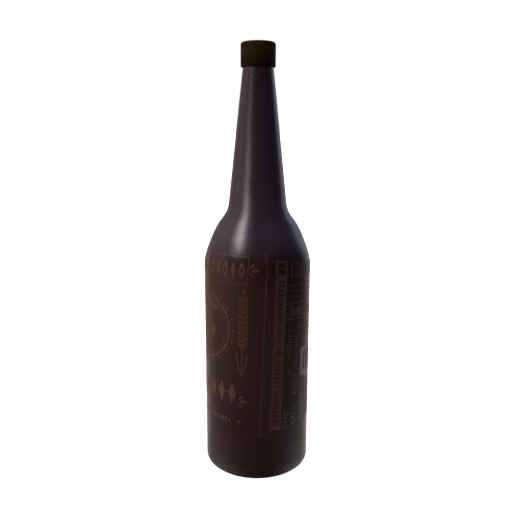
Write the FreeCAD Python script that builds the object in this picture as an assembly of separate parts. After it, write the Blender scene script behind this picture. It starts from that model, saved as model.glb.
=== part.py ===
import FreeCAD, Part
import math
import os

V = FreeCAD.Vector

# ------------------------------------------------------------ dimensions (mm)
# Frame: +Z up along the bottle's axis, origin at the centre of the foot.

TOTAL_H = 318.8            # floor to the top of the cap

BODY_R = 40.25             # straight body
HEEL_R = 4.0               # rounding between wall and foot
FOOT_IN_R = 31.0           # inner radius of the flat bearing ring
PUSH_UP = 3.0              # height of the shallow dome under the foot

SHOULDER_Z = 158.0         # end of the straight body
# shoulder curve, (radius, height) through the middle of the curve
SHOULDER = [
    (40.15, 161.0),
    (39.68, 164.4),
    (38.76, 168.0),
    (37.46, 172.0),
    (35.94, 176.0),
    (34.30, 180.0),
    (32.48, 184.0),
    (30.30, 188.0),
    (27.70, 192.0),
    (26.52, 193.5),
    (24.59, 196.25),
    (23.12, 199.0),
    (22.12, 201.75),
]
NECK_Z = 205.0             # start of the straight taper of the neck
NECK_R = 21.54             # radius there
NECK_TOP_R = 11.05         # radius just below the cap

CAP_R = 12.55              # outside of the cap
CAP_H = 17.0               # height of the cap
CAP_EDGE = 1.9             # rounding of the cap's top edge
CAP_LIP = 0.35             # rounding of the cap's lower rim
CAP_TOP_T = 1.6            # thickness of the cap's disc, liner included
FINISH_R = 11.70           # glass lip that the cap grips
FINISH_GAP = 1.4           # the lip starts this far above the cap's rim
FINISH_CHAMFER = 0.8       # rounding of the lip's lower edge, as a cone

# ------------------------------------------------------------ helpers


def line(a, b):
    return Part.makeLine(V(a[0], 0, a[1]), V(b[0], 0, b[1]))


def arc(a, mid, b):
    return Part.Arc(V(a[0], 0, a[1]), V(mid[0], 0, mid[1]), V(b[0], 0, b[1])).toShape()


def spline(points, t0, t1):
    """Smooth curve through the points with given end directions."""
    curve = Part.BSplineCurve()
    curve.interpolate([V(r, 0, z) for r, z in points],
                      InitialTangent=V(t0[0], 0, t0[1]),
                      FinalTangent=V(t1[0], 0, t1[1]))
    return curve.toShape()


def revolve(edges):
    """Turn a closed profile in the XZ plane once round the Z axis."""
    wire = Part.Wire(Part.__sortEdges__(edges))
    face = Part.Face(wire)
    solid = face.revolve(V(0, 0, 0), V(0, 0, 1), 360)
    if solid.Volume < 0:
        solid.reverse()
    return solid


cap_z = TOTAL_H - CAP_H
taper = (NECK_TOP_R - NECK_R) / (cap_z - NECK_Z)
curve_points = [(BODY_R, SHOULDER_Z)] + SHOULDER + [(NECK_R, NECK_Z)]
up = (0.0, 1.0)
along_neck = (taper, 1.0)

# ------------------------------------------------------------ bottle
# One turned solid: flat bearing ring with a shallow dome inside it, heel,
# straight body, curved shoulder, long conical neck, and the lip that the cap
# grips. The pack is shut and opaque, so it is solid.

lip_low = cap_z + FINISH_GAP
lip_top = TOTAL_H - CAP_TOP_T
neck_under_lip = NECK_TOP_R + taper * FINISH_GAP
dome_mid_r = FOOT_IN_R * 0.52
dome_mid_z = PUSH_UP * (1.0 - 0.52 ** 2)
s = math.sin(math.radians(45))

bottle = revolve([
    arc((0.0, PUSH_UP), (dome_mid_r, dome_mid_z), (FOOT_IN_R, 0.0)),
    line((FOOT_IN_R, 0.0), (BODY_R - HEEL_R, 0.0)),
    arc((BODY_R - HEEL_R, 0.0),
        (BODY_R - HEEL_R + HEEL_R * s, HEEL_R - HEEL_R * s),
        (BODY_R, HEEL_R)),
    line((BODY_R, HEEL_R), (BODY_R, SHOULDER_Z)),
    spline(curve_points, up, along_neck),
    line((NECK_R, NECK_Z), (neck_under_lip, lip_low)),
    line((neck_under_lip, lip_low), (FINISH_R, lip_low + FINISH_CHAMFER)),
    line((FINISH_R, lip_low + FINISH_CHAMFER), (FINISH_R, lip_top)),
    line((FINISH_R, lip_top), (0.0, lip_top)),
    line((0.0, lip_top), (0.0, PUSH_UP)),
])

# ------------------------------------------------------------ cap
# A plain cup pressed over the lip. Its bore and the underside of its disc
# sit face to face on the glass.

skirt_z = cap_z
cap = revolve([
    line((0.0, lip_top), (FINISH_R, lip_top)),
    line((FINISH_R, lip_top), (FINISH_R, skirt_z)),
    line((FINISH_R, skirt_z), (CAP_R - CAP_LIP, skirt_z)),
    arc((CAP_R - CAP_LIP, skirt_z),
        (CAP_R - CAP_LIP + CAP_LIP * s, skirt_z + CAP_LIP - CAP_LIP * s),
        (CAP_R, skirt_z + CAP_LIP)),
    line((CAP_R, skirt_z + CAP_LIP), (CAP_R, TOTAL_H - CAP_EDGE)),
    arc((CAP_R, TOTAL_H - CAP_EDGE),
        (CAP_R - CAP_EDGE + CAP_EDGE * s, TOTAL_H - CAP_EDGE + CAP_EDGE * s),
        (CAP_R - CAP_EDGE, TOTAL_H)),
    line((CAP_R - CAP_EDGE, TOTAL_H), (0.0, TOTAL_H)),
    line((0.0, TOTAL_H), (0.0, lip_top)),
])

# ------------------------------------------------------------ export

os.makedirs("parts", exist_ok=True)
for name, shape in (("bottle", bottle), ("cap", cap)):
    box = shape.BoundBox
    print(name, shape.ShapeType, "valid", shape.isValid(), "solids", len(shape.Solids),
          "vol %.1f" % shape.Volume,
          "z %.2f..%.2f" % (box.ZMin, box.ZMax),
          "x %.2f..%.2f" % (box.XMin, box.XMax))

bottle.exportStep("parts/bottle.step")
cap.exportStep("parts/cap.step")
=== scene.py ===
import math
import random

import bmesh
import bpy
import numpy as np
from mathutils import Matrix, Vector


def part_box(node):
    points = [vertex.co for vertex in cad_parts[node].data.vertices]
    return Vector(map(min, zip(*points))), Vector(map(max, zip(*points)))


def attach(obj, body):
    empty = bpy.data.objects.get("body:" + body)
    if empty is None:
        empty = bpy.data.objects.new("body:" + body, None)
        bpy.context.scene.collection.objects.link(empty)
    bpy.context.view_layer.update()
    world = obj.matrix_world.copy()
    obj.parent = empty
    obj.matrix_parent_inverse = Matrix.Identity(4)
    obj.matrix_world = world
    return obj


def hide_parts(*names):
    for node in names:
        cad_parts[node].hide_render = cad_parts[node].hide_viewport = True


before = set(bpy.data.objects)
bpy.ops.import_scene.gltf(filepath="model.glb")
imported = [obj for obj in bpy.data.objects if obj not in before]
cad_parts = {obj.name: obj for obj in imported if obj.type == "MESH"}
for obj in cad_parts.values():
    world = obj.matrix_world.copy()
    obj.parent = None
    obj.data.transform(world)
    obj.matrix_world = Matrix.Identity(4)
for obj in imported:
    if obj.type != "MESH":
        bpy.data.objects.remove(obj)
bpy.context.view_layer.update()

MM = 0.001

# ---------------------------------------------------------------- frame sizes
bottle_lo, bottle_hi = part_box("bottle")
cap_lo, cap_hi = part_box("cap")

TOP_Z = cap_hi[2] / MM            # top of the cap
CAP_Z = cap_lo[2] / MM            # lower rim of the cap
CAP_R = cap_hi[0] / MM
LIP_TOP = bottle_hi[2] / MM
BODY_R = bottle_hi[0] / MM        # glass wall

HEEL_R = 4.0
FOOT_IN_R = 31.0
PUSH_UP = 3.0
SHOULDER_Z = 158.0
SHOULDER = [(40.15, 161.0), (39.68, 164.4), (38.76, 168.0), (37.46, 172.0),
            (35.94, 176.0), (34.30, 180.0), (32.48, 184.0), (30.30, 188.0),
            (27.70, 192.0), (26.52, 193.5), (24.59, 196.25), (23.12, 199.0),
            (22.12, 201.75)]
NECK_Z = 205.0
NECK_R = 21.54
NECK_TOP_R = 11.05
FINISH_R = 11.70
SINK = 0.10                       # the glass skin stands this far inside the CAD wall,
                                  # which leaves the depth of the ink
TAPER = (NECK_TOP_R - NECK_R) / (CAP_Z - NECK_Z)


# ---------------------------------------------------------------- profile
def clamped_spline(points, t0, t1, step):
    """Points along a smooth curve through the given (r, z) points."""
    p = np.array(points, float)
    t = np.concatenate([[0.0], np.cumsum(np.linalg.norm(np.diff(p, axis=0), axis=1))])
    h = np.diff(t)
    n = len(p)
    t0 = np.array(t0, float) / np.linalg.norm(t0)
    t1 = np.array(t1, float) / np.linalg.norm(t1)
    a = np.zeros((n, n))
    b = np.zeros((n, 2))
    a[0, 0] = 2 * h[0]; a[0, 1] = h[0]
    b[0] = 6 * ((p[1] - p[0]) / h[0] - t0)
    a[-1, -1] = 2 * h[-1]; a[-1, -2] = h[-1]
    b[-1] = 6 * (t1 - (p[-1] - p[-2]) / h[-1])
    for i in range(1, n - 1):
        a[i, i - 1] = h[i - 1]; a[i, i] = 2 * (h[i - 1] + h[i]); a[i, i + 1] = h[i]
        b[i] = 6 * ((p[i + 1] - p[i]) / h[i] - (p[i] - p[i - 1]) / h[i - 1])
    m = np.linalg.solve(a, b)
    out = []
    for i in range(n - 1):
        k = max(2, int(math.ceil(h[i] / step)))
        for j in range(k):
            x = h[i] * j / k
            y = h[i] - x
            out.append(m[i] * y ** 3 / (6 * h[i]) + m[i + 1] * x ** 3 / (6 * h[i])
                       + (p[i] / h[i] - m[i] * h[i] / 6) * y
                       + (p[i + 1] / h[i] - m[i + 1] * h[i] / 6) * x)
    out.append(p[-1])
    return [tuple(q) for q in out]


SHOULDER_CURVE = clamped_spline([(BODY_R, SHOULDER_Z)] + SHOULDER + [(NECK_R, NECK_Z)],
                                (0, 1), (TAPER, 1), 0.9)
_sz = np.array([q[1] for q in SHOULDER_CURVE])
_sr = np.array([q[0] for q in SHOULDER_CURVE])


def wall_r(z):
    """Radius of the glass wall at height z, in mm."""
    if z < HEEL_R:
        return BODY_R - HEEL_R + math.sqrt(max(0.0, HEEL_R ** 2 - (HEEL_R - z) ** 2))
    if z <= SHOULDER_Z:
        return BODY_R
    if z < NECK_Z:
        return float(np.interp(z, _sz, _sr))
    return NECK_R + TAPER * (z - NECK_Z)


def wall_slope(z):
    return (wall_r(z + 0.3) - wall_r(z - 0.3)) / 0.6


def sink(z):
    return SINK * min(1.0, max(0.0, (190.0 - z) / 12.0))


def surface(angle, z, lift):
    """Point on the glass skin at an angle to the right of the front, lifted
    along the wall's own normal by lift mm."""
    m = wall_slope(z)
    n = math.hypot(1.0, m)
    r = wall_r(z) - sink(z) + lift / n
    zz = z - lift * m / n
    a = angle - math.pi / 2
    return (r * math.cos(a), r * math.sin(a), zz)


# ---------------------------------------------------------------- mesh helpers
def new_object(name, verts, faces, smooth=True, sharp_deg=35.0):
    mesh = bpy.data.meshes.new(name)
    mesh.from_pydata([tuple(c * MM for c in v) for v in verts], [], faces)
    mesh.validate()
    bm = bmesh.new()
    bm.from_mesh(mesh)
    bmesh.ops.remove_doubles(bm, verts=bm.verts, dist=1e-7)
    bmesh.ops.recalc_face_normals(bm, faces=bm.faces)
    limit = math.radians(sharp_deg)
    for f in bm.faces:
        f.smooth = smooth
    for e in bm.edges:
        if len(e.link_faces) == 2 and e.calc_face_angle(0.0) > limit:
            e.smooth = False
    bm.to_mesh(mesh)
    bm.free()
    obj = bpy.data.objects.new(name, mesh)
    bpy.context.scene.collection.objects.link(obj)
    return obj


def lathe(name, profile, segments, shape=None, sharp_deg=35.0):
    """Turn a profile of (r, z) points round the axis. A point with r = 0 is a pole.
    shape(r, z, angle) may return a moved (r, z)."""
    verts, faces, rings = [], [], []
    for r, z in profile:
        if r < 1e-6:
            verts.append((0.0, 0.0, z))
            rings.append([len(verts) - 1] * segments)
            continue
        ring = []
        for k in range(segments):
            a = 2 * math.pi * k / segments
            rr, zz = shape(r, z, a) if shape else (r, z)
            verts.append((rr * math.cos(a), rr * math.sin(a), zz))
            ring.append(len(verts) - 1)
        rings.append(ring)
    for lower, upper in zip(rings[:-1], rings[1:]):
        for k in range(segments):
            k2 = (k + 1) % segments
            quad = [lower[k], lower[k2], upper[k2], upper[k]]
            unique = []
            for q in quad:
                if q not in unique:
                    unique.append(q)
            if len(unique) > 2:
                faces.append(unique)
    return new_object(name, verts, faces, sharp_deg=sharp_deg)


def arc_pts(cx, cz, r, a0, a1, n):
    return [(cx + r * math.cos(math.radians(a0 + (a1 - a0) * i / n)),
             cz + r * math.sin(math.radians(a0 + (a1 - a0) * i / n))) for i in range(n + 1)]


def line_pts(a, b, n):
    return [(a[0] + (b[0] - a[0]) * i / n, a[1] + (b[1] - a[1]) * i / n) for i in range(n + 1)]


def join_profile(*runs):
    out = []
    for run in runs:
        for q in run:
            if not out or math.hypot(q[0] - out[-1][0], q[1] - out[-1][1]) > 1e-4:
                out.append(q)
    return out


# ---------------------------------------------------------------- glass
dome_R = (FOOT_IN_R ** 2 + PUSH_UP ** 2) / (2 * PUSH_UP)
dome = []
for i in range(15):
    r = FOOT_IN_R * i / 14
    dome.append((r, PUSH_UP - dome_R + math.sqrt(dome_R ** 2 - r ** 2)))

neck_under_lip = NECK_TOP_R + TAPER * 1.4
glass_profile = join_profile(
    dome,
    line_pts((FOOT_IN_R, 0.0), (BODY_R - HEEL_R, 0.0), 6),
    arc_pts(BODY_R - HEEL_R, HEEL_R, HEEL_R, -90, 0, 10),
    line_pts((BODY_R, HEEL_R), (BODY_R, SHOULDER_Z), 30),
    SHOULDER_CURVE,
    line_pts((NECK_R, NECK_Z), (neck_under_lip, CAP_Z + 1.4), 60),
    line_pts((neck_under_lip, CAP_Z + 1.4), (FINISH_R - 0.05, CAP_Z + 2.2), 2),
    line_pts((FINISH_R - 0.05, CAP_Z + 2.2), (FINISH_R - 0.05, LIP_TOP - 0.1), 3),
    [(0.0, LIP_TOP - 0.1)],
)

SEGS = 192


def glass_shape(r, z, a):
    # bearing ring: shallow cast notches round the foot, cut into the glass
    if z < 0.01 and 32.0 < r < 35.2:
        notch = max(0.0, math.cos(a * 48.0))
        return r, 0.35 * notch * math.sin(math.pi * (r - 32.0) / 3.2)
    # mould seams: two hair-fine raised lines, on the neck and shoulder
    if z > 172.0 and z < CAP_Z - 0.5:
        for seam in (math.radians(10.0), math.radians(190.0)):
            d = abs((a - seam + math.pi) % (2 * math.pi) - math.pi) * r
            if d < 0.9:
                return r - sink(z) + 0.05 * (1 - d / 0.9), z
    if z > 0.5:
        return r - sink(z), z
    return r, z


glass = lathe("glass_body", glass_profile, SEGS, glass_shape)


# Lean of the shading normal (degrees from level) at heights in mm. It runs
# softly from the body over the shoulder and far up the neck, so that the
# sheen does too; the shape underneath is the CAD's.
SHEEN_Z = [159.0, 163.6, 173.6, 184.0, 192.0, 199.5, 215.0, 301.0]
SHEEN_LEAN = [0.0, 8.0, 20.5, 30.0, 28.0, 21.0, 16.5, 6.2]


def even_slope(z):
    total = weight = 0.0
    for i in range(-16, 17):
        d = 0.25 * i
        k = math.exp(-0.5 * (d / 1.5) ** 2)
        total += k * float(np.interp(z + d, SHEEN_Z, SHEEN_LEAN))
        weight += k
    return -math.tan(math.radians(total / weight))


def even_normals(obj):
    """Sets the shading normals of the smooth wall from even_slope, and softens
    them on the heel; the foot, the lip and the sideways lean on the seams
    keep their own."""
    mesh = obj.data
    cache = {}
    normals = [tuple(c.vector) for c in mesh.corner_normals]
    for face in mesh.polygons:
        heel = 0.00002 < face.center.z < HEEL_R * MM
        for k in face.loop_indices:
            co = mesh.vertices[mesh.loops[k].vertex_index].co
            z = co.z / MM
            r = math.hypot(co.x, co.y)
            if 155.5 < z < CAP_Z - 0.6:
                key = round(z, 2)
                if key not in cache:
                    cache[key] = even_slope(z)
                lean = cache[key]
            elif heel and r > (BODY_R - HEEL_R - 0.2) * MM:
                lean = 0.45 * (1.0 - z / HEEL_R) ** 2
            else:
                continue
            n = Vector(normals[k])
            across = Vector((co.x / r, co.y / r, 0.0))
            side = n - across * n.dot(across)
            side.z = 0.0
            n = across + side
            n.z = -lean
            n.normalize()
            normals[k] = tuple(n)
    mesh.normals_split_custom_set(normals)


even_normals(glass)

# ---------------------------------------------------------------- cap
cap_profile = join_profile(
    [(0.0, LIP_TOP - 0.05)],
    line_pts((0.0, LIP_TOP - 0.05), (FINISH_R - 0.02, LIP_TOP - 0.05), 4),
    line_pts((FINISH_R - 0.02, LIP_TOP - 0.05), (FINISH_R - 0.02, CAP_Z + 0.25), 4),
    arc_pts(FINISH_R + 0.23, CAP_Z + 0.25, 0.25, 180, 270, 4),
    arc_pts(CAP_R - 0.35, CAP_Z + 0.35, 0.35, -90, 0, 5),
    line_pts((CAP_R, CAP_Z + 0.35), (CAP_R, TOP_Z - 1.9), 18),
    arc_pts(CAP_R - 1.9, TOP_Z - 1.9, 1.9, 0, 90, 12),
    line_pts((CAP_R - 1.9, TOP_Z), (0.0, TOP_Z), 8),
)
cap = lathe("cap_shell", cap_profile, SEGS)


# ---------------------------------------------------------------- print
# The print is laid out flat first: u is the distance in mm to the right of
# the front, v the height in mm. It sits slightly askew on the bottle. It is
# made of plain ornaments, rules, dashes and blocks; no letters.
ROUND = 2 * math.pi * BODY_R
LEAN = 0.034
SLOPE = 0.10
SLOPE_AT = math.radians(50.0)
INK = 0.055                       # the ink stands this far proud of the glass
rng = random.Random(20)


def on_bottle(u, v, lift):
    a = u / BODY_R
    z = v - SLOPE * BODY_R * (math.sin(a - SLOPE_AT) + math.sin(SLOPE_AT))
    return surface(a + (z - 105.0) * LEAN / BODY_R, z, lift)


def rect(u0, v0, u1, v1, r=0.0, n=4):
    if r <= 0:
        return [(u0, v0), (u1, v0), (u1, v1), (u0, v1)]
    out = []
    for cu, cv, a0 in ((u1 - r, v0 + r, -90), (u1 - r, v1 - r, 0),
                       (u0 + r, v1 - r, 90), (u0 + r, v0 + r, 180)):
        out += arc_pts(cu, cv, r, a0, a0 + 90, n)
    return out


def oval(u, v, ru, rv, n=20):
    return [(u + ru * math.cos(2 * math.pi * i / n), v + rv * math.sin(2 * math.pi * i / n))
            for i in range(n)]


def star(u, v, r_out, r_in, points=4, turn=90.0):
    out = []
    for i in range(points * 2):
        r = r_out if i % 2 == 0 else r_in
        a = math.radians(turn + 180.0 * i / points)
        out.append((u + r * math.cos(a), v + r * math.sin(a)))
    return out


def petal(u, v, length, width, angle, skew=1.0, n=9):
    """Pointed petal with its base at (u, v), pointing along angle."""
    ca, sa = math.cos(math.radians(angle)), math.sin(math.radians(angle))
    low, high = [], []
    for i in range(1, n):
        t = i / n
        w = 0.5 * width * math.sin(math.pi * t ** skew)
        low.append((t * length, -w))
        high.append((t * length, w))
    pts = [(0.0, 0.0)] + low + [(length, 0.0)] + high[::-1]
    return [(u + x * ca - y * sa, v + x * sa + y * ca) for x, y in pts]


def stroke(points, width, closed=False):
    """A band of even width along the points, as one outline with square ends."""
    p = np.array(points, float)
    if closed:
        d = np.roll(p, -1, axis=0) - np.roll(p, 1, axis=0)
    else:
        d = np.gradient(p, axis=0)
    d /= np.linalg.norm(d, axis=1)[:, None]
    nrm = np.stack([-d[:, 1], d[:, 0]], axis=1)
    left = [tuple(q) for q in p + nrm * width / 2]
    right = [tuple(q) for q in p - nrm * width / 2]
    if closed:
        return plate(left, [right]) if _area(left) > _area(right) else plate(right, [left])
    return plate(right + left[::-1])


def _area(pts):
    return abs(sum(a[0] * b[1] - b[0] * a[1] for a, b in zip(pts, pts[1:] + pts[:1]))) / 2


def plate(outer, holes=()):
    return (list(outer), [list(h) for h in holes])


def ring(u, v, r, width, n=48):
    return plate(oval(u, v, r + width / 2, r + width / 2, n), [oval(u, v, r - width / 2, r - width / 2, n)])


def frame_line(u0, v0, u1, v1, width, r):
    return plate(rect(u0, v0, u1, v1, r), [rect(u0 + width, v0 + width, u1 - width, v1 - width,
                                                max(0.0, r - width))])


def ink_piece(name, shapes):
    """Closed thin prisms on the skin of the glass, one for each flat shape."""
    verts, faces = [], []
    for outer, holes in shapes:
        bm = bmesh.new()
        edges = []
        for loop in [outer] + holes:
            vs = [bm.verts.new((q[0], q[1], 0.0)) for q in loop]
            edges += [bm.edges.new((vs[i], vs[(i + 1) % len(vs)])) for i in range(len(vs))]
        bmesh.ops.triangle_fill(bm, use_beauty=True, use_dissolve=False, edges=edges, normal=(0, 0, 1))
        us = [q[0] for q in outer]
        vv = [q[1] for q in outer]
        # cut into narrow strips, so that the facets follow the round wall
        k = math.floor(min(us) / 1.5) + 1
        while k * 1.5 < max(us):
            bmesh.ops.bisect_plane(bm, geom=bm.verts[:] + bm.edges[:] + bm.faces[:], dist=1e-5,
                                   plane_co=(k * 1.5, 0, 0), plane_no=(1, 0, 0))
            k += 1
        k = math.floor(max(min(vv), 152.0) / 2.0) + 1
        while k * 2.0 < max(vv):
            bmesh.ops.bisect_plane(bm, geom=bm.verts[:] + bm.edges[:] + bm.faces[:], dist=1e-5,
                                   plane_co=(0, k * 2.0, 0), plane_no=(0, 1, 0))
            k += 1
        bmesh.ops.recalc_face_normals(bm, faces=bm.faces)
        base = len(verts)
        bm.verts.index_update()
        n = len(bm.verts)
        for q in bm.verts:
            verts.append(on_bottle(q.co.x, q.co.y, INK))
        for q in bm.verts:
            verts.append(on_bottle(q.co.x, q.co.y, -0.05))
        for f in bm.faces:
            ids = [q.index for q in f.verts]
            if f.normal.z < 0:
                ids.reverse()
            faces.append([base + i for i in ids])
            faces.append([base + n + i for i in reversed(ids)])
        for e in bm.edges:
            if len(e.link_faces) == 1:
                f = e.link_faces[0]
                ids = [q.index for q in f.verts]
                if f.normal.z < 0:
                    ids.reverse()
                a, b = e.verts[0].index, e.verts[1].index
                if ids[(ids.index(a) + 1) % len(ids)] != b:
                    a, b = b, a
                faces.append([base + n + a, base + n + b, base + b, base + a])
        bm.free()
    return new_object(name, verts, faces, sharp_deg=40.0)


def dashes(u0, u1, v, height, low, high, gap):
    """A row of plain dashes of uneven length."""
    out = []
    u = u0
    while u < u1 - low:
        w = min(rng.uniform(low, high), u1 - u)
        out.append(plate(rect(u, v - height / 2, u + w, v + height / 2, min(0.25, height * 0.3), 2)))
        u += w + gap
    return out


def dash_column(u0, u1, v_top, v_low, height, pitch):
    """A column of short dashes, one under another."""
    out = []
    v = v_top
    while v > v_low:
        if rng.random() > 0.12:
            a = u0 + rng.choice((0.0, 0.0, 0.7))
            b = u1 - rng.choice((0.0, 0.0, 0.9))
            h = height * rng.uniform(0.75, 1.15)
            out.append(plate(rect(a, v - h, b, v, 0.2, 2)))
        v -= pitch
    return out


def sprig(u, v, side):
    """Three petals that open to one side (1 right, -1 left)."""
    a = 0.0 if side > 0 else 180.0
    return [plate(petal(u + side * 0.5, v, 6.7, 3.3, a, 1.15)),
            plate(petal(u, v + 1.35, 4.7, 1.9, a + side * 46.0, 1.1)),
            plate(petal(u, v - 1.35, 4.9, 1.9, a - side * 50.0, 1.1))]


def mirror_u(shape, centre):
    outer, holes = shape
    return ([(2 * centre - a, b) for a, b in outer], [[(2 * centre - a, b) for a, b in h] for h in holes])


MID = -46.0                       # middle of the front panel
BACK = 101.0                      # middle of the back panel

# heading: a thin frame with a row of grains, alternately solid and open
heading = [frame_line(-83.6, 151.1, -8.4, 170.7, 0.5, 0.6)]
for k in range(-5, 6):
    u = MID + 6.55 * k
    if k % 2:
        heading.append(plate(petal(u, 154.6, 12.6, 4.6, 90), [petal(u, 157.9, 6.0, 1.5, 90)]))
    else:
        heading.append(plate(petal(u, 154.9, 12.0, 3.5, 90)))

# sprigs beside the frame and beside the lower band
sprigs = sprig(-7.4, 161.6, 1) + sprig(2 * MID + 7.4, 161.6, -1)
sprigs += sprig(-12.6, 62.3, 1) + sprig(2 * MID + 12.6, 62.3, -1)

# round medallion with a hop cone
CV = 115.5
medal = [ring(MID, CV, 24.4, 1.7, 72), ring(MID, CV, 21.9, 0.6, 64)]
for k in range(40):
    a = 360.0 * k / 40
    long_ray = k % 2 == 0
    r0 = 26.2
    medal.append(plate(petal(MID + r0 * math.cos(math.radians(a)), CV + r0 * math.sin(math.radians(a)),
                             3.6 if long_ray else 2.2, 1.7 if long_ray else 1.0, a, 0.8, 6)))


def hop(u, v, k):
    """A hop cone of overlapping scales under two leaves and a stalk."""
    out = []
    rows = (2, 3, 4, 5, 4, 3, 2, 1)
    for i, n in enumerate(rows):
        for j in range(n):
            x = (j - (n - 1) / 2) * 4.5 * k
            out.append(plate(petal(u + x, v + (13.4 - i * 4.0) * k, 5.6 * k, 3.9 * k, -90 + x * 1.1 / k, 0.75)))
    for side in (1, -1):
        base = 0.0 if side > 0 else 180.0
        out.append(plate(petal(u + side * 1.6 * k, v + 15.4 * k, 12.5 * k, 5.6 * k, base + side * 6, 1.0),
                         [petal(u + side * 4.4 * k, v + 15.7 * k, 6.6 * k, 1.1 * k, base + side * 6, 1.0)]))
        out.append(plate(petal(u + side * 1.4 * k, v + 16.9 * k, 6.6 * k, 2.6 * k, base + side * 44, 1.0)))
    out.append(plate(rect(u - 0.5 * k, v + 14.6 * k, u + 0.5 * k, v + 19.6 * k, 0.2, 2)))
    return out


medal += hop(MID, CV - 1.0, 1.0)

# an ear of barley each side of the medallion
ear = [plate(rect(-11.5, 82.0, -10.5, 143.0, 0.3, 2))]
for i in range(9):
    v = 103.5 + 4.3 * i
    size = 1.0 if i < 7 else 0.86
    ear.append(plate(petal(-10.25, v, 5.9 * size, 2.5 * size, 61, 1.1)))
    ear.append(plate(petal(-11.75, v, 5.9 * size, 2.5 * size, 119, 1.1)))
ear.append(plate(petal(-11.0, 143.4, 5.6, 2.3, 90, 1.1)))
for side in (1, -1):
    pts = [(-11.0 + side * (0.8 + 3.4 * math.sin(t * 1.45)), 84.0 + 15.5 * t) for t in np.linspace(0, 1, 12)]
    ear.append(stroke(pts, 0.95))
ear += [mirror_u(s, MID) for s in ear]

# lower band of bold lozenges with dots between, and small marks under it
band = []
for k in range(-3, 4):
    u = MID + 9.3 * k
    band.append(plate([(u - 3.7, 67.7), (u - 1.2, 62.6), (u, 59.4), (u + 1.2, 62.6), (u + 3.7, 67.7),
                       (u + 1.2, 72.8), (u, 76.0), (u - 1.2, 72.8)]))
    if k < 3:
        band.append(plate(oval(u + 4.65, 73.0, 0.85, 0.85, 12)))
        band.append(plate(oval(u + 4.65, 62.4, 0.85, 0.85, 12)))
small = []
for side in (1, -1):
    for k in range(7):
        u = MID + side * (8.2 + 3.0 * k)
        small.append(plate(rect(u - 0.8, 44.0, u + 0.8, 48.0 if k % 3 else 46.6, 0.3, 2)))
    small.append(plate(star(MID + side * 34.4, 46.0, 2.3, 1.0)))
small.append(plate(star(MID, 46.0, 3.0, 1.3)))

# dividers: a thin line with a bead at each end
divider = []
for u in (4.6, 2 * MID - 4.6):
    divider.append(plate(rect(u - 0.48, 38.0, u + 0.48, 171.4)))
    divider.append(plate(oval(u, 172.2, 1.15, 1.25, 16)))
    divider.append(plate(oval(u, 37.2, 1.15, 1.25, 16)))


# upright bar with knocked-out marks
def bar(u0, u1, v0, v1):
    um = (u0 + u1) / 2
    holes = [rect(u0 + 1.4, v1 - 4.9, u1 - 1.4, v1 - 1.4, 0.5, 3),
             rect(u0 + 1.4, v1 - 9.4, u1 - 1.4, v1 - 5.9, 0.5, 3)]
    v = v1 - 13.5
    plan = [(10, 3.35, 2.5), (4, 2.5, 1.7), (0, 0, 0), (16, 3.3, 2.5)]
    for count, pitch, half in plan:
        if count == 0:
            v -= 1.5
            holes.append(oval(um, v - 3.2, 3.0, 3.0, 24))
            v -= 8.2
            continue
        for i in range(count):
            kind = rng.randrange(4)
            top, low = v, v - pitch * 0.62
            if kind == 0:
                holes.append(rect(um - half, low, um + half, low + (top - low) * 0.45))
                holes.append(rect(um - half, low + (top - low) * 0.68, um + half, top))
            elif kind == 1:
                holes.append(rect(um - half, low, um - 0.4, top, 0.2, 2))
                holes.append(rect(um + 0.4, low, um + half, top, 0.2, 2))
            elif kind == 2:
                holes.append(rect(um - half, low, um + half, top, 0.2, 2))
            else:
                holes.append([(um - half, (top + low) / 2), (um, low), (um + half, (top + low) / 2), (um, top)])
            v -= pitch
        v -= 3.2
    out = [plate(rect(u0, v0, u1, v1, 1.3, 5), [h for h in holes if min(q[1] for q in h) > v0 + 1.2])]
    centre = [h for h in holes if len(h) == 24]
    for h in centre:
        cv = sum(q[1] for q in h) / len(h)
        out.append(ring(um, cv, 1.55, 0.7, 20))
    return out


bars = bar(11.5, 20.5, 41.2, 169.3)
bars += [mirror_u(s, MID) for s in bar(11.5, 20.5, 41.2, 169.3)]

# side block: rows and columns of plain dashes, rules, and a small star
info = []
u = 24.6
while u < 62.0:
    h = rng.choice((11.4, 11.4, 11.4, 7.0))
    base = 157.0 + (0.0 if rng.random() < 0.5 else 11.4 - h)
    info.append(plate(rect(u, base, u + 1.05, base + h, 0.2, 2)))
    u += rng.choice((2.3, 2.7, 3.3))
for v in (151.6, 147.4, 143.2):
    info += dashes(25.2, 61.5, v, 0.95, 1.3, 3.6, 0.9)
info.append(plate(rect(22.8, 138.1, 62.5, 138.9)))
u = 25.0
while u < 60.0:
    w = rng.choice((1.1, 1.1, 2.6))
    info.append(plate(rect(u, 128.6, u + w, 135.2, 0.2, 2)))
    u += w + 1.25
info.append(plate(rect(22.8, 126.1, 62.5, 126.9)))
info.append(plate(star(34.6, 121.2, 2.7, 1.0)))
info += dash_column(23.3, 27.0, 118.5, 86.5, 0.95, 2.25)
info += dash_column(30.4, 35.2, 116.6, 80.0, 1.15, 2.55)
info += dash_column(29.2, 35.0, 77.6, 42.0, 1.25, 2.75)
for v in (56.0, 50.4, 44.8):
    info.append(frame_line(22.2, v - 3.9, 26.1, v, 0.7, 0.5))
slots = []
for v in (71.4, 60.7, 50.0):
    w = rng.choice((9.0, 12.0, 15.0))
    slots.append(rect(43.4, v - 0.4, 43.4 + w, v + 0.4, 0.3, 2))
    slots.append(rect(44.8 + w, v - 0.4, 61.4, v + 0.4, 0.3, 2))
info.append(plate(rect(38.4, 44.4, 64.0, 77.0, 1.0), slots))
info += dashes(40.0, 62.0, 121.2, 1.5, 1.6, 3.2, 1.0)
info += dashes(40.0, 62.0, 116.8, 1.5, 1.6, 3.2, 1.0)
info += dashes(40.0, 58.0, 112.4, 1.5, 1.6, 3.2, 1.0)

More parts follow.
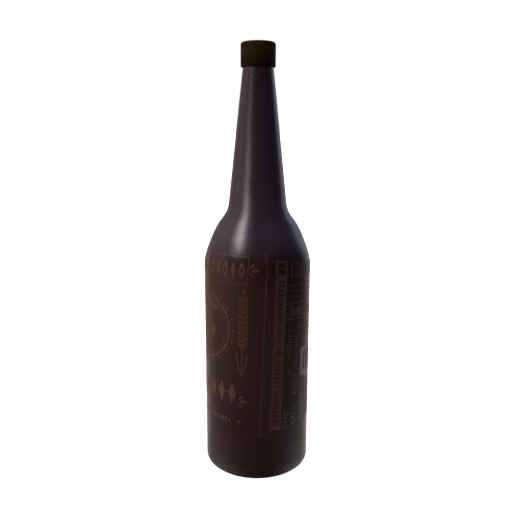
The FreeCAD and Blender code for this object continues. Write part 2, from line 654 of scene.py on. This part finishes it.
# pale printed patch with upright stripes
stripes = []
u = 41.2
while u < 60.6:
    w = rng.choice((0.35, 0.6, 0.6, 0.95, 1.25))
    stripes.append(rect(u, 84.4, u + w, 100.2))
    u += w + rng.choice((0.35, 0.35, 0.6))
patch = [plate(rect(38.1, 81.0, 64.0, 103.4, 0.7, 3), stripes)]

# back panel: a framed hop in a ring with grains over it and dashes under it
back = [frame_line(70.0, 44.0, 132.0, 168.0, 0.95, 5.0),
        frame_line(72.0, 46.0, 130.0, 166.0, 0.5, 3.4),
        ring(BACK, 112.0, 20.6, 1.5, 64)]
back += hop(BACK, 110.8, 0.88)
for k in range(-3, 4):
    back.append(plate(petal(BACK + 6.2 * k, 144.2 - abs(k) * 1.0, 11.5, 3.4, 90 - 5.0 * k)))
for row, half in ((84.6, 21.0), (80.2, 23.0), (75.8, 19.0)):
    back += dashes(BACK - half, BACK + half, row, 1.6, 1.6, 4.2, 1.1)
for k in range(-3, 4):
    u = BACK + 7.2 * k
    back.append(plate([(u - 2.6, 61.5), (u, 54.6), (u + 2.6, 61.5), (u, 68.4)]))

ink_sets = {
    "print_heading": heading, "print_sprigs": sprigs, "print_medallion": medal,
    "print_ears": ear, "print_band": band + small, "print_dividers": divider,
    "print_bars": bars, "print_side_block": info, "print_back_panel": back,
}
inks = {name: ink_piece(name, shapes) for name, shapes in ink_sets.items()}
pale_patch = ink_piece("print_patch", patch)


# ---------------------------------------------------------------- materials
def material(name):
    mat = bpy.data.materials.new(name)
    mat.use_nodes = True
    nt = mat.node_tree
    nt.nodes.clear()
    out = nt.nodes.new("ShaderNodeOutputMaterial")
    bsdf = nt.nodes.new("ShaderNodeBsdfPrincipled")
    nt.links.new(bsdf.outputs["BSDF"], out.inputs["Surface"])
    return mat, nt, bsdf


def coords(nt, scale=(1, 1, 1)):
    tc = nt.nodes.new("ShaderNodeTexCoord")
    mp = nt.nodes.new("ShaderNodeMapping")
    mp.inputs["Scale"].default_value = scale
    nt.links.new(tc.outputs["Object"], mp.inputs["Vector"])
    return mp.outputs["Vector"]


def noise(nt, vec, scale, detail=3.0, rough=0.5):
    n = nt.nodes.new("ShaderNodeTexNoise")
    n.inputs["Scale"].default_value = scale
    n.inputs["Detail"].default_value = detail
    n.inputs["Roughness"].default_value = rough
    nt.links.new(vec, n.inputs["Vector"])
    return n.outputs["Fac"]


def ramp(nt, fac, stops):
    r = nt.nodes.new("ShaderNodeValToRGB")
    els = r.color_ramp.elements
    while len(els) < len(stops):
        els.new(0.5)
    for e, (pos, col) in zip(els, stops):
        e.position = pos
        e.color = (col[0], col[1], col[2], 1.0)
    nt.links.new(fac, r.inputs["Fac"])
    return r.outputs["Color"]


def map_range(nt, fac, lo, hi):
    m = nt.nodes.new("ShaderNodeMapRange")
    m.inputs["From Min"].default_value = 0.3
    m.inputs["From Max"].default_value = 0.7
    m.inputs["To Min"].default_value = lo
    m.inputs["To Max"].default_value = hi
    nt.links.new(fac, m.inputs["Value"])
    return m.outputs["Result"]


def bump(nt, height, strength, distance, normal=None):
    b = nt.nodes.new("ShaderNodeBump")
    b.inputs["Strength"].default_value = strength
    b.inputs["Distance"].default_value = distance
    nt.links.new(height, b.inputs["Height"])
    if normal is not None:
        nt.links.new(normal, b.inputs["Normal"])
    return b.outputs["Normal"]


GLASS_RGB = (0.0180, 0.0081, 0.0092)
GOLD_RGB = (0.0560, 0.0280, 0.0108)
PALE_RGB = (0.2420, 0.2360, 0.2400)
CAP_RGB = (0.0180, 0.0136, 0.0038)


def scaled(c, k):
    return tuple(min(1.0, x * k) for x in c)


def make_glass():
    mat, nt, b = material("glass_dark")
    v = coords(nt)
    n1 = noise(nt, v, 26.0, 3.0)
    nt.links.new(ramp(nt, n1, [(0.25, scaled(GLASS_RGB, 0.85)), (0.75, scaled(GLASS_RGB, 1.15))]),
                 b.inputs["Base Color"])
    n2 = noise(nt, v, 60.0, 4.0, 0.6)
    nt.links.new(map_range(nt, n2, 0.165, 0.205), b.inputs["Roughness"])
    b.inputs["IOR"].default_value = 1.5
    wave = noise(nt, coords(nt, (1, 1, 0.35)), 38.0, 2.0)
    waved = bump(nt, wave, 0.10, 0.0006)
    grain = noise(nt, v, 1050.0, 0.0, 0.5)
    nt.links.new(bump(nt, grain, 0.5, 0.00019, waved), b.inputs["Normal"])
    return mat


def make_ink(name, rgb, rough):
    mat, nt, b = material(name)
    v = coords(nt)
    n1 = noise(nt, v, 90.0, 5.0, 0.6)
    nt.links.new(ramp(nt, n1, [(0.25, scaled(rgb, 0.84)), (0.75, scaled(rgb, 1.16))]),
                 b.inputs["Base Color"])
    n2 = noise(nt, v, 260.0, 4.0, 0.6)
    nt.links.new(map_range(nt, n2, rough - 0.04, rough + 0.04), b.inputs["Roughness"])
    grain = noise(nt, v, 1400.0, 3.0, 0.6)
    nt.links.new(bump(nt, grain, 0.15, 0.00008), b.inputs["Normal"])
    return mat


def make_cap():
    mat, nt, b = material("cap_bronze")
    v = coords(nt)
    n1 = noise(nt, v, 110.0, 4.0, 0.55)
    mottle = ramp(nt, n1, [(0.25, scaled(CAP_RGB, 0.85)), (0.75, scaled(CAP_RGB, 1.2))])
    # painted shade: the lacquer's colour runs darker towards the rim and lighter towards the top, standing in for how
    # the light falls on the cap
    height = nt.nodes.new("ShaderNodeSeparateXYZ")
    nt.links.new(v, height.inputs[0])
    painted_shade_by_height = nt.nodes.new("ShaderNodeMapRange")
    painted_shade_by_height.inputs["From Min"].default_value = CAP_Z * MM
    painted_shade_by_height.inputs["From Max"].default_value = (CAP_Z + 11.6) * MM
    painted_shade_by_height.inputs["To Min"].default_value = 0.62
    painted_shade_by_height.inputs["To Max"].default_value = 1.38
    nt.links.new(height.outputs["Z"], painted_shade_by_height.inputs["Value"])
    # the mottled colour times the painted shade from height
    tint = nt.nodes.new("ShaderNodeVectorMath")
    tint.operation = "SCALE"
    nt.links.new(mottle, tint.inputs[0])
    nt.links.new(painted_shade_by_height.outputs["Result"], tint.inputs["Scale"])
    nt.links.new(tint.outputs[0], b.inputs["Base Color"])
    n2 = noise(nt, coords(nt, (1, 1, 12)), 150.0, 3.0, 0.6)
    b.inputs["Specular IOR Level"].default_value = 0.015
    nt.links.new(map_range(nt, n2, 0.42, 0.50), b.inputs["Roughness"])
    grain = noise(nt, coords(nt, (1, 1, 18)), 260.0, 2.0, 0.6)
    nt.links.new(bump(nt, grain, 0.12, 0.0002), b.inputs["Normal"])
    return mat


def give(obj, mat):
    obj.data.materials.clear()
    obj.data.materials.append(mat)


give(glass, make_glass())
give(cap, make_cap())
for piece, node, slot_name in ((glass, "bottle", "glass"), (cap, "cap", "cap")):
    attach(piece, "root")
    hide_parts(node)

gold = make_ink("ink_gold", GOLD_RGB, 0.42)
pale = make_ink("ink_pale", PALE_RGB, 0.45)
for piece in list(inks.values()) + [pale_patch]:
    give(piece, pale if piece is pale_patch else gold)
    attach(piece, "root")

# ---------------------------------------------------------------- stage
scene = bpy.context.scene

floor_mesh = bpy.data.meshes.new("floor")
floor_mesh.from_pydata([(-30, -30, 0), (30, -30, 0), (30, 30, 0), (-30, 30, 0)], [], [(0, 1, 2, 3)])
floor = bpy.data.objects.new("floor", floor_mesh)
scene.collection.objects.link(floor)
fm, fnt, fb = material("floor_pale")
fb.inputs["Base Color"].default_value = (0.8, 0.8, 0.8, 1)
fb.inputs["Roughness"].default_value = 0.9
fb.inputs["Specular IOR Level"].default_value = 0.0
fb.inputs["Emission Color"].default_value = (1, 1, 1, 1)
fb.inputs["Emission Strength"].default_value = 0.95
floor.data.materials.append(fm)
floor.visible_glossy = False
floor.visible_diffuse = False
floor.visible_shadow = False

world = bpy.data.worlds.new("studio")
world.use_nodes = True
scene.world = world
wnt = world.node_tree
wnt.nodes.clear()
wout = wnt.nodes.new("ShaderNodeOutputWorld")
mix = wnt.nodes.new("ShaderNodeMixShader")
lp = wnt.nodes.new("ShaderNodeLightPath")
amb = wnt.nodes.new("ShaderNodeBackground")
cam_bg = wnt.nodes.new("ShaderNodeBackground")
cam_bg.inputs["Color"].default_value = (1, 1, 1, 1)
cam_bg.inputs["Strength"].default_value = 1.0
wnt.links.new(lp.outputs["Is Camera Ray"], mix.inputs["Fac"])
wnt.links.new(amb.outputs["Background"], mix.inputs[1])
wnt.links.new(cam_bg.outputs["Background"], mix.inputs[2])
wnt.links.new(mix.outputs["Shader"], wout.inputs["Surface"])


def wmath(op, a, b=None, c=None):
    n = wnt.nodes.new("ShaderNodeMath")
    n.operation = op
    for k, x in enumerate((a, b, c)):
        if x is None:
            continue
        if isinstance(x, (int, float)):
            n.inputs[k].default_value = x
        else:
            wnt.links.new(x, n.inputs[k])
    return n.outputs[0]


# Soft lights far away, each a smooth patch of glow on the studio's surround:
# azimuth from the viewer's side (positive to the right), elevation, the
# spread each way, all in degrees, and the strength per colour channel.
SOFT_LIGHTS = [
    (-173,   9, 54,  6, (0.06, 0.14, 0.20)),
    (-137,  -6,  4,  7, (0.50, 0.41, 0.30)),
    (-120,  76, 24, 33, (2.91, 2.31, 2.60)),
    (-111, -44, 44,  5, (3.65, 3.12, 3.17)),
    ( -87,  19, 12, 16, (0.72, 0.57, 0.66)),
    ( -71, -12, 40,  7, (0.75, 0.36, 0.19)),
    ( -60,  23,  8,  5, (1.33, 1.03, 1.10)),
    ( -58,  -9, 13,  5, (0.04, 0.14, 0.22)),
    ( -58,  43, 10,  7, (9.36, 8.67, 8.71)),
    ( -54,   3, 41,  5, (0.53, 0.14, 0.03)),
    ( -50,  43,  4, 12, (3.54, 3.84, 3.97)),
    ( -45,  31,  8,  5, (3.23, 2.79, 2.72)),
    ( -44,  31,  4,  9, (0.07, 0.00, 0.17)),
    ( -26,  46, 11, 12, (0.52, 0.32, 0.49)),
    ( -20,  24, 32,  6, (0.19, 0.11, 0.10)),
    (  22, -23, 42,  5, (0.29, 0.20, 0.17)),
    (  39,  47, 55, 17, (0.29, 0.25, 0.48)),
    (  72,  -1, 22,  5, (0.08, 0.06, 0.07)),
    ( 114, -43, 33,  5, (3.22, 3.29, 3.39)),
    ( 119,  13,  5,  5, (0.33, 0.35, 0.59)),
    ( 133,  24, 31,  6, (0.18, 0.24, 0.41)),
    ( 134,  13,  8, 10, (0.68, 0.75, 0.99)),
    ( 167,  -8, 25,  8, (0.80, 0.80, 0.74)),
    ( 178, -26, 48,  5, (0.69, 0.60, 0.54)),
    ( 176,  62, 42, 13, (1.28, 1.16, 1.24)),
]
AMBIENT = (0.022, 0.000, 0.000)

direction = wnt.nodes.new("ShaderNodeTexCoord").outputs["Generated"]
split = wnt.nodes.new("ShaderNodeSeparateXYZ")
wnt.links.new(direction, split.inputs[0])
RAD = math.degrees(1.0)
w_az = wmath("MULTIPLY", wmath("ARCTAN2", split.outputs[0], wmath("MULTIPLY", split.outputs[1], -1.0)), RAD)
w_el = wmath("MULTIPLY", wmath("ARCSINE", split.outputs[2]), RAD)
total = None
for azimuth, elevation, wide, high, power in SOFT_LIGHTS:
    da = wmath("WRAP", wmath("SUBTRACT", w_az, float(azimuth)), 180.0, -180.0)
    qa = wmath("POWER", wmath("ABSOLUTE", wmath("DIVIDE", da, float(wide))), 2.0)
    qe = wmath("POWER", wmath("ABSOLUTE", wmath("DIVIDE", wmath("SUBTRACT", w_el, float(elevation)), float(high))), 2.0)
    glow = wmath("EXPONENT", wmath("MULTIPLY", wmath("ADD", qa, qe), -0.5))
    part = wnt.nodes.new("ShaderNodeVectorMath")
    part.operation = "MULTIPLY_ADD"
    part.inputs[0].default_value = power
    wnt.links.new(glow, part.inputs[1])
    if total is None:
        part.inputs[2].default_value = AMBIENT
    else:
        wnt.links.new(total, part.inputs[2])
    total = part.outputs[0]
wnt.links.new(total, amb.inputs["Color"])
amb.inputs["Strength"].default_value = 1.0

scene.view_settings.view_transform = "Standard"
scene.view_settings.look = "None"
scene.view_settings.exposure = 0.0
scene.view_settings.gamma = 1.0

# ---------------------------------------------------------------- camera
cam_data = bpy.data.cameras.new("camera")
cam_data.sensor_width = 36.0
cam_data.lens = 600.0 * 36.0 / 512.0
cam_data.clip_start = 0.01
cam_data.clip_end = 200.0
camera = bpy.data.objects.new("camera", cam_data)
scene.collection.objects.link(camera)
pitch, roll = math.radians(11.948), math.radians(0.208)
forward = Vector((0, math.cos(pitch), -math.sin(pitch)))
up0 = Vector((0, math.sin(pitch), math.cos(pitch)))
right0 = Vector((1, 0, 0))
xc = right0 * math.cos(roll) + up0 * math.sin(roll)
yc = up0 * math.cos(roll) - right0 * math.sin(roll)
rot = Matrix((xc, yc, -forward)).transposed().to_4x4()
camera.matrix_world = Matrix.Translation(Vector((-0.00108, -0.44676, 0.25860))) @ rot
scene.camera = camera
